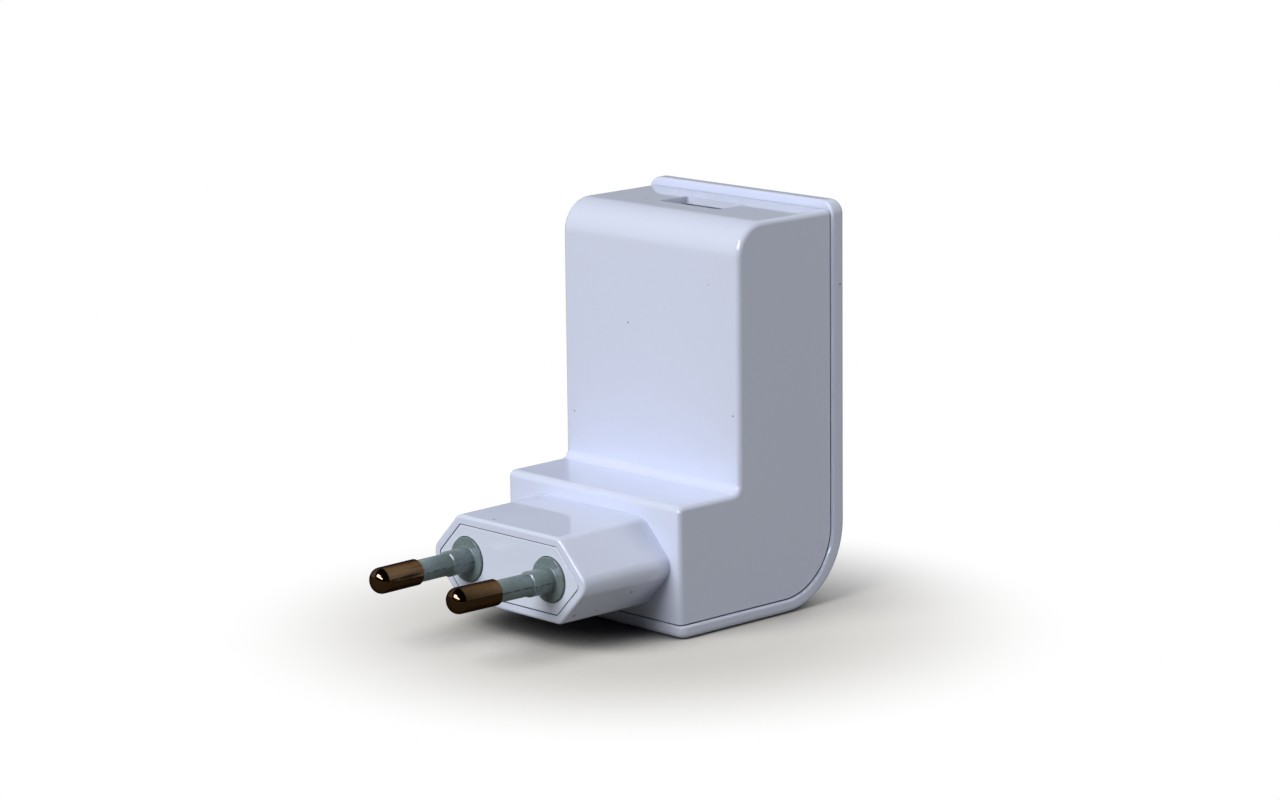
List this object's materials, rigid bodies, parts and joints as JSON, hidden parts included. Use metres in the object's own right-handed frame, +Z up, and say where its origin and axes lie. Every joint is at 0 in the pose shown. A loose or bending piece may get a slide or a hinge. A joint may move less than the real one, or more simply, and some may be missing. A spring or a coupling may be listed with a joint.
{
  "type": "usb wall charger",
  "caption": "L-shaped wall charger: its foot carries a flat two-pin mains plug, and a USB port in the top face of its upright block feeds a phone.",
  "frame": {"origin": "bottom centre of the whole charger's box, on the table under the foot", "axes": "+Z up, -Y the way the pins point out of the plug face, +X to the right when the pins point away from the viewer's back"},
  "size_m": [0.0402, 0.0714, 0.0629],
  "materials": {
    "case": "polished moulded plastic, faintly bluish white",
    "plate": "polished moulded plastic, faintly bluish white",
    "pin_metal": "plated brass, polished, dark bronze",
    "sleeve": "blue-grey nylon, glossy, with a mould seam along each side",
    "lead": "soft dark insulation",
    "board": "green solder mask over glass laminate",
    "sheet": "thin translucent insulating film",
    "bulk_capacitor": "dark blue shrink sleeve",
    "output_capacitor": "blue-green shrink sleeve",
    "resistor": "green flameproof coating",
    "choke": "varnished ferrite bobbin",
    "chip": "black moulding compound",
    "chip_resistor": "black glaze on white ceramic",
    "ferrite": "dull dark grey ferrite",
    "bobbin": "tan phenolic",
    "winding": "enamelled copper",
    "tape": "yellow polyester tape",
    "disc_capacitor": "blue epoxy dip",
    "optocoupler": "white moulding compound",
    "diode": "black moulding with a grey band",
    "port_shell": "nickel-plated steel sheet",
    "port_insulator": "white nylon",
    "contact": "gold-flashed bronze"
  },
  "bodies": {
    "root": {"front_housing": "case", "back_cover": "case", "face_plate": "plate", "pin_left": "pin_metal", "pin_right": "pin_metal", "pin_sleeve_left": "sleeve", "pin_sleeve_right": "sleeve", "mains_lead_left": "lead", "mains_lead_right": "lead", "circuit_board": "board", "insulation_sheet": "sheet", "bulk_capacitor_left": "bulk_capacitor", "bulk_capacitor_right": "bulk_capacitor", "fusible_resistor": "resistor", "input_choke": "choke", "bridge_rectifier": "chip", "controller_chip": "chip", "chip_resistors": "chip_resistor", "transformer_core_upper": "ferrite", "transformer_core_lower": "ferrite", "transformer_bobbin": "bobbin", "transformer_winding": "winding", "transformer_tape": "tape", "suppression_capacitor": "disc_capacitor", "optocoupler": "optocoupler", "output_diode": "diode", "output_capacitor_left": "output_capacitor", "output_capacitor_right": "output_capacitor", "usb_shell": "port_shell", "usb_insulator": "port_insulator", "usb_contacts": "contact"}
  },
  "joints": []
}
